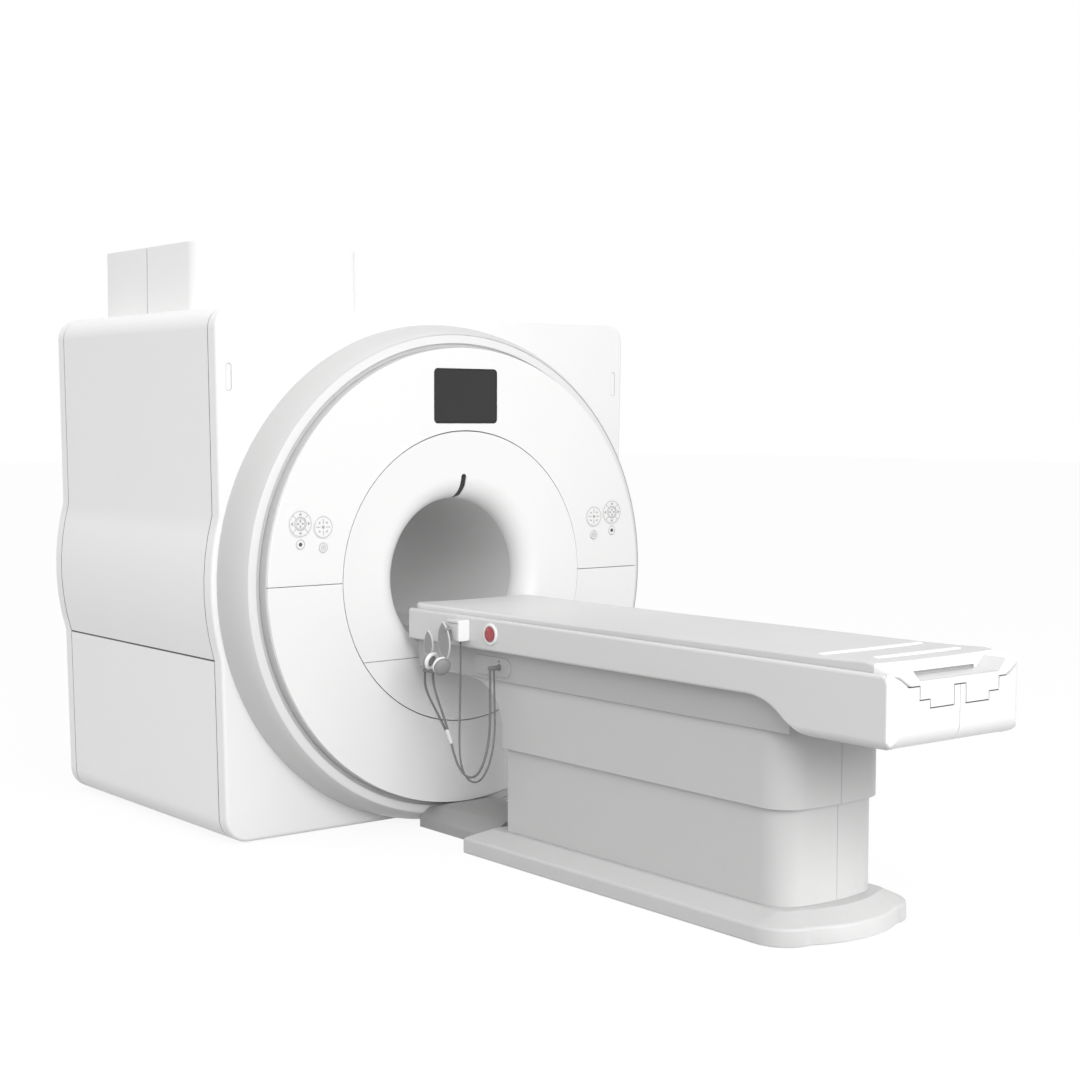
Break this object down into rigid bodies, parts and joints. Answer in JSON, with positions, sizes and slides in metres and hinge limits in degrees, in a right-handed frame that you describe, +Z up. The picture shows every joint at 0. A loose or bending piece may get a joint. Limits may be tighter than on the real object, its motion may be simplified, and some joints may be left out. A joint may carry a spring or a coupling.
{
  "type": "mri scanner",
  "caption": "Whole-body imaging scanner: round gantry with a patient bore, and a table that lifts on a telescopic column with a sliding cradle.",
  "frame": {"origin": "on the floor under the isocentre, on the underside of the magnet frame's middle beam", "axes": "+Z up, +Y into the bore along its axis, +X to the right for someone who faces the gantry"},
  "size_m": [2.1252, 4.217, 2.415],
  "materials": {
    "cover_white": "satin white moulded cover",
    "cover_light_grey": "satin light grey moulded cover",
    "cover_mid_grey": "satin mid grey moulded cover",
    "ring_grey": "satin grey moulded ring",
    "bore_white": "smooth bore tube",
    "screen_dark": "dark switched-off screen",
    "window_dark": "dark laser window",
    "key_white": "white keys",
    "steel_frame": "painted steel",
    "vessel_steel": "welded stainless vessel",
    "coil_resin": "cast resin coil",
    "deck_metal": "machined deck",
    "cradle_white": "white laminate",
    "stop_red": "red push button",
    "stop_white": "white ring",
    "fitting_grey": "grey fitting",
    "headset_grey": "grey and white headset",
    "hose_grey": "grey soft hose"
  },
  "bodies": {
    "scanner_base": {"front_cover": "cover_white", "fascia_upper": "cover_white", "fascia_lower": "cover_white", "funnel_upper": "cover_white", "funnel_lower": "cover_white", "rear_cover": "cover_white", "top_cover": "cover_white", "turret_cover_front": "cover_white", "turret_cover_rear": "cover_white", "rear_funnel": "cover_white", "side_cover_upper_left": "cover_light_grey", "side_cover_upper_right": "cover_light_grey", "side_cover_lower_left": "cover_light_grey", "side_cover_lower_right": "cover_light_grey", "floor_duct": "cover_light_grey", "base_plate": "cover_light_grey", "lower_cover_left": "cover_mid_grey", "lower_cover_right": "cover_mid_grey", "bezel_ring": "ring_grey", "bore_liner": "bore_white", "bore_bridge": "bore_white", "display_screen": "screen_dark", "laser_window": "window_dark", "magnet_frame": "steel_frame", "column_outer": "steel_frame", "cryostat_vessel": "vessel_steel", "cold_head": "vessel_steel", "gradient_coil": "coil_resin"},
    "table_middle": {"middle_cover_left": "cover_mid_grey", "middle_cover_right": "cover_mid_grey", "column_middle": "steel_frame"},
    "table_top": {"column_inner": "steel_frame", "table_frame": "deck_metal", "upper_skirt": "cover_mid_grey", "side_panel_left": "cover_light_grey", "side_panel_right": "cover_light_grey", "end_cover_left": "cover_white", "end_cover_right": "cover_white", "stop_ring": "stop_white", "outlet_plate": "fitting_grey", "hook_box": "stop_white", "headset": "headset_grey", "y_piece": "fitting_grey", "tube_far": "hose_grey", "tube_near": "hose_grey", "tube_main": "hose_grey", "call_tube": "hose_grey"},
    "patient_cradle": {"cradle": "cradle_white"},
    "emergency_stop": {"stop_button": "stop_red"},
    "pad_ring_left_key": {"pad_ring_left": "key_white"},
    "pad_ring_right_key": {"pad_ring_right": "key_white"},
    "pad_centre_left_key": {"pad_centre_left": "key_white"},
    "pad_centre_right_key": {"pad_centre_right": "key_white"},
    "pad_small_left_key": {"pad_small_left": "key_white"},
    "pad_small_right_key": {"pad_small_right": "key_white"},
    "key_outer_left_key": {"key_outer_left": "key_white"},
    "key_outer_right_key": {"key_outer_right": "key_white"},
    "key_inner_left_key": {"key_inner_left": "key_white"},
    "key_inner_right_key": {"key_inner_right": "key_white"}
  },
  "joints": [
    {"name": "table_lift", "type": "slide", "parent": "scanner_base", "child": "table_top", "axis": [0, 0, 1], "range_m": [-0.24, 0]},
    {"name": "middle_lift", "type": "slide", "parent": "scanner_base", "child": "table_middle", "axis": [0, 0, 1], "range_m": [-0.144, 0]},
    {"name": "cradle_slide", "type": "slide", "parent": "table_top", "child": "patient_cradle", "axis": [0, 1, 0], "range_m": [0, 1.6]},
    {"name": "stop_press", "type": "slide", "parent": "table_top", "child": "emergency_stop", "axis": [1, 0, 0], "range_m": [0, 0.005], "stiffness_N_per_m": 1500, "springref_m": -0.002},
    {"name": "pad_ring_left_press", "type": "slide", "parent": "scanner_base", "child": "pad_ring_left_key", "axis": [0, 1, 0], "range_m": [0, 0.0012], "stiffness_N_per_m": 1500, "springref_m": -0.001},
    {"name": "pad_ring_right_press", "type": "slide", "parent": "scanner_base", "child": "pad_ring_right_key", "axis": [0, 1, 0], "range_m": [0, 0.0012], "stiffness_N_per_m": 1500, "springref_m": -0.001},
    {"name": "pad_centre_left_press", "type": "slide", "parent": "scanner_base", "child": "pad_centre_left_key", "axis": [0, 1, 0], "range_m": [0, 0.0012], "stiffness_N_per_m": 1500, "springref_m": -0.001},
    {"name": "pad_centre_right_press", "type": "slide", "parent": "scanner_base", "child": "pad_centre_right_key", "axis": [0, 1, 0], "range_m": [0, 0.0012], "stiffness_N_per_m": 1500, "springref_m": -0.001},
    {"name": "pad_small_left_press", "type": "slide", "parent": "scanner_base", "child": "pad_small_left_key", "axis": [0, 1, 0], "range_m": [0, 0.0012], "stiffness_N_per_m": 1500, "springref_m": -0.001},
    {"name": "pad_small_right_press", "type": "slide", "parent": "scanner_base", "child": "pad_small_right_key", "axis": [0, 1, 0], "range_m": [0, 0.0012], "stiffness_N_per_m": 1500, "springref_m": -0.001},
    {"name": "key_outer_left_press", "type": "slide", "parent": "scanner_base", "child": "key_outer_left_key", "axis": [0, 1, 0], "range_m": [0, 0.0012], "stiffness_N_per_m": 1500, "springref_m": -0.001},
    {"name": "key_outer_right_press", "type": "slide", "parent": "scanner_base", "child": "key_outer_right_key", "axis": [0, 1, 0], "range_m": [0, 0.0012], "stiffness_N_per_m": 1500, "springref_m": -0.001},
    {"name": "key_inner_left_press", "type": "slide", "parent": "scanner_base", "child": "key_inner_left_key", "axis": [0, 1, 0], "range_m": [0, 0.0012], "stiffness_N_per_m": 1500, "springref_m": -0.001},
    {"name": "key_inner_right_press", "type": "slide", "parent": "scanner_base", "child": "key_inner_right_key", "axis": [0, 1, 0], "range_m": [0, 0.0012], "stiffness_N_per_m": 1500, "springref_m": -0.001}
  ],
  "couplings": [
    {"joint": "middle_lift", "follows": "table_lift", "ratio": 0.6}
  ]
}
